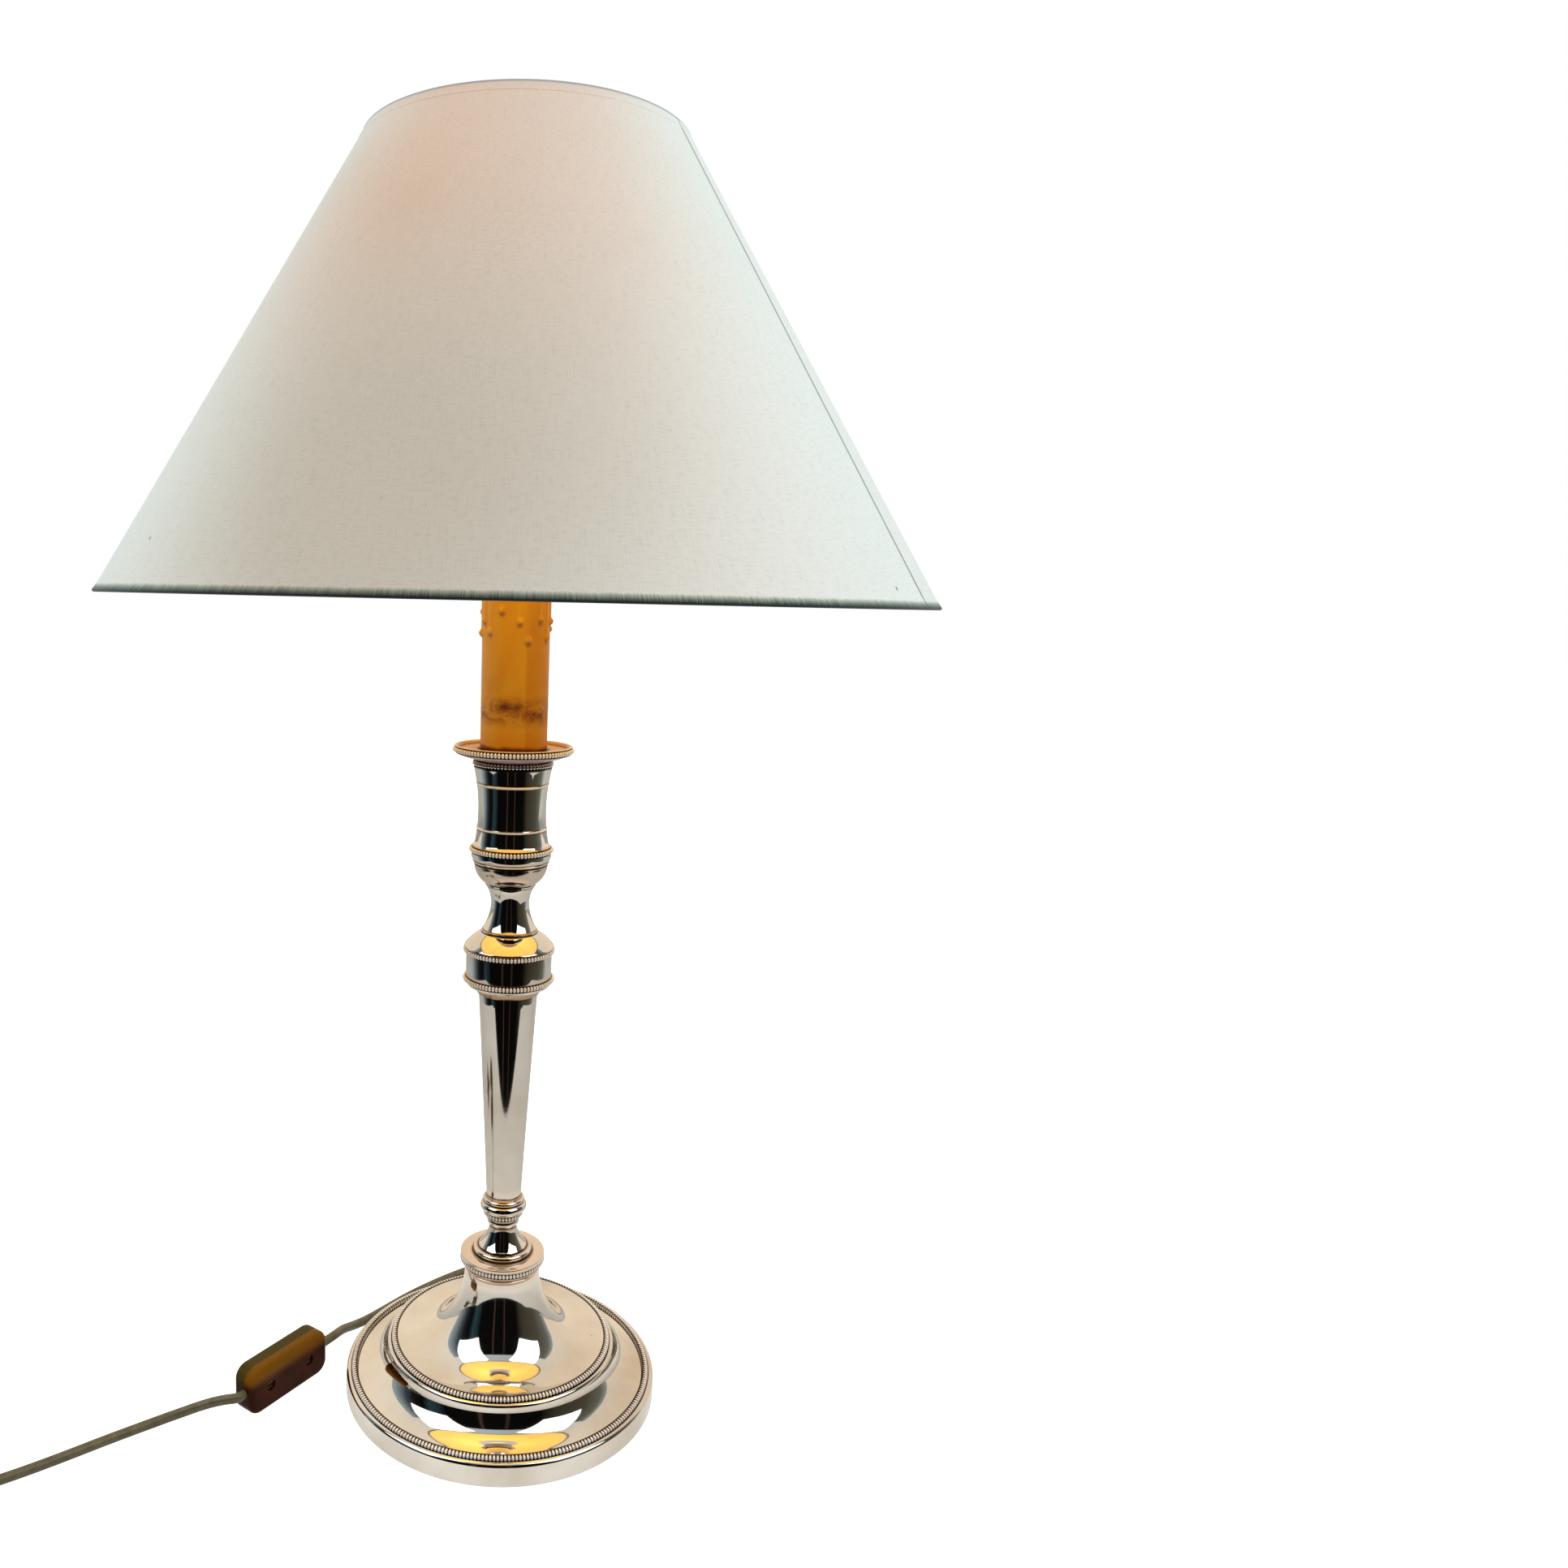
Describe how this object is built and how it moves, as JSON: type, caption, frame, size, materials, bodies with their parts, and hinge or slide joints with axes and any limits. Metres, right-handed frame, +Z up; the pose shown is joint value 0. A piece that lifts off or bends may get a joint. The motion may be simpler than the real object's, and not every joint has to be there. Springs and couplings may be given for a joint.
{
  "type": "candlestick table lamp",
  "caption": "Table lamp with a turned, beaded metal candlestick stem on a stepped round foot, a mock candle, a conical fabric shade and a flex with an in-line switch.",
  "frame": {"origin": "centre of the foot's underside, on the surface that the lamp stands on", "axes": "+Z up along the stem, towards the shade; -Y to the front, where the switch lies to the left"},
  "size_m": [0.4274, 0.3074, 0.487],
  "materials": {
    "silver": "polished silver plate, aged",
    "bead_silver": "silver plate with tarnish between the beads",
    "felt": "dark green felt",
    "plate_steel": "zinc plated",
    "iron": "rough cast",
    "rod_steel": "threaded, plain",
    "candle_resin": "amber resin, semi-gloss",
    "holder_plastic": "moulded, ivory",
    "insert_ceramic": "glazed white",
    "brass": "bright",
    "wire_insulation": "plain",
    "shade_wire": "white enamel",
    "shade_fabric": "ivory linen on a stiff backing",
    "bulb_glass": "clear",
    "bulb_cap": "bright",
    "filament": "wire",
    "flex_pvc": "olive gold, satin",
    "gland_rubber": "matt",
    "switch_brown": "dark brown, glossy",
    "tie_plastic": "plain",
    "plug_brown": "dark brown, satin"
  },
  "bodies": {
    "lamp": {"base_bead_rings": "bead_silver", "base_collar": "silver", "base_shell": "silver", "base_weight": "iron", "bell_foot": "silver", "cable_gland": "gland_rubber", "candle_cup": "silver", "candle_sleeve": "candle_resin", "centre_contact": "brass", "coil_tie": "tie_plastic", "collar_bead_ring": "bead_silver", "column": "silver", "cover_plate": "plate_steel", "cover_screws": "plate_steel", "cup_bead_rings": "bead_silver", "drip_pan": "silver", "drum": "silver", "drum_bead_rings": "bead_silver", "felt_pad": "felt", "flex_base_to_switch": "flex_pvc", "flex_coil": "flex_pvc", "flex_coil_to_plug": "flex_pvc", "flex_switch_to_coil": "flex_pvc", "holder_cap": "holder_plastic", "holder_insert": "insert_ceramic", "holder_mantle": "holder_plastic", "holder_wires": "wire_insulation", "inner_cable": "flex_pvc", "knob": "silver", "knob_bead_ring": "bead_silver", "pan_bead_ring": "bead_silver", "plug_body": "plug_brown", "plug_pin_sleeves": "plug_brown", "plug_pins": "brass", "reducer_nipple": "rod_steel", "ring_nuts": "holder_plastic", "rod_nuts": "plate_steel", "screw_shell": "brass", "sleeve_washer": "plate_steel", "switch_back": "switch_brown", "switch_contacts": "brass", "switch_front": "switch_brown", "switch_leads": "flex_pvc", "switch_screws": "plate_steel", "tie_rod": "rod_steel", "waist": "silver", "washer": "plate_steel"},
    "shade": {"shade_carrier": "shade_wire", "top_wire_ring": "shade_wire", "shade_cone": "shade_fabric", "bottom_hem": "shade_fabric", "top_hem": "shade_fabric"},
    "bulb_travel": {"bulb_tip_contact": "brass"},
    "bulb": {"bulb_glass": "bulb_glass", "bulb_stem": "bulb_glass", "bulb_cap": "bulb_cap", "bulb_filament": "filament", "bulb_insulator": "insert_ceramic"},
    "rocker": {"rocker": "switch_brown"}
  },
  "joints": [
    {"name": "shade_turn", "type": "hinge", "parent": "lamp", "child": "shade", "pos_m": [0, 0, 0.357], "axis": [0, 0, 1], "continuous": true},
    {"name": "bulb_lift", "type": "slide", "parent": "lamp", "child": "bulb_travel", "axis": [0, 0, 1], "range_m": [0, 0.00846]},
    {"name": "bulb_turn", "type": "hinge", "parent": "bulb_travel", "child": "bulb", "pos_m": [0, 0, 0.37], "axis": [0, 0, 1], "range_deg": [0, 1081]},
    {"name": "rocker_tilt", "type": "hinge", "parent": "lamp", "child": "rocker", "pos_m": [-0.09209, -0.00776, 0.0095], "axis": [0, 0, 1], "range_deg": [0, 14]}
  ],
  "couplings": [
    {"joint": "bulb_turn", "follows": "bulb_lift", "rad_per_m": 2228.1}
  ]
}
